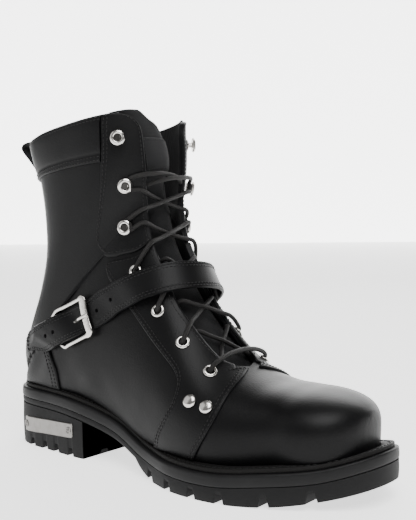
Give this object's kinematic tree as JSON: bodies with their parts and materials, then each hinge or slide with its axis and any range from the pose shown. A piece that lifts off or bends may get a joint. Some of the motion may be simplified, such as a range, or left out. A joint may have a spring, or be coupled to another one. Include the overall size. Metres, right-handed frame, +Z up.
{
  "type": "lace-up motorcycle boot",
  "caption": "Black leather lace-up motorcycle boot for the right foot, with speed hooks, an ankle buckle strap, a lugged rubber sole and a metal heel plate.",
  "frame": {"origin": "on the floor, under the middle of the boot's box", "axes": "+X from the heel to the toe, +Y to the inner side of the foot, +Z up"},
  "size_m": [0.3234, 0.1108, 0.2547],
  "materials": {
    "leather": "semi-matte black, fine grain",
    "tread_rubber": "matte",
    "midsole_rubber": "satin",
    "insole_board": "woven",
    "cloth": "matte weave",
    "nickel": "polished nickel",
    "lace": "waxed round cord"
  },
  "bodies": {
    "root": {"buckle_chape": "leather", "buckle_frame": "nickel", "buckle_prong": "nickel", "collar": "leather", "counter": "leather", "eyelet_lateral_1": "nickel", "eyelet_lateral_2": "nickel", "eyelet_lateral_3": "nickel", "eyelet_lateral_4": "nickel", "eyelet_medial_1": "nickel", "eyelet_medial_2": "nickel", "eyelet_medial_3": "nickel", "eyelet_medial_4": "nickel", "eyelet_stay_lateral": "leather", "eyelet_stay_medial": "leather", "heel_block": "tread_rubber", "heel_plate": "nickel", "heel_plate_screw_front": "nickel", "heel_plate_screw_rear": "nickel", "hook_lateral_1": "nickel", "hook_lateral_2": "nickel", "hook_lateral_3": "nickel", "hook_medial_1": "nickel", "hook_medial_2": "nickel", "hook_medial_3": "nickel", "hook_stay_lateral": "leather", "hook_stay_medial": "leather", "insole": "insole_board", "lace_bar": "lace", "lace_crossing_1": "lace", "lace_crossing_2": "lace", "lace_crossing_3": "lace", "lace_crossing_4": "lace", "lace_crossing_inner": "lace", "lace_end_lateral": "lace", "lace_end_medial": "lace", "midsole": "midsole_rubber", "outsole": "tread_rubber", "pull_loop": "cloth", "rivet_lateral_1": "nickel", "rivet_lateral_2": "nickel", "rivet_medial_1": "nickel", "rivet_medial_2": "nickel", "strap": "leather", "tongue": "cloth", "tongue_label": "cloth", "upper": "leather", "welt": "leather"}
  },
  "joints": []
}
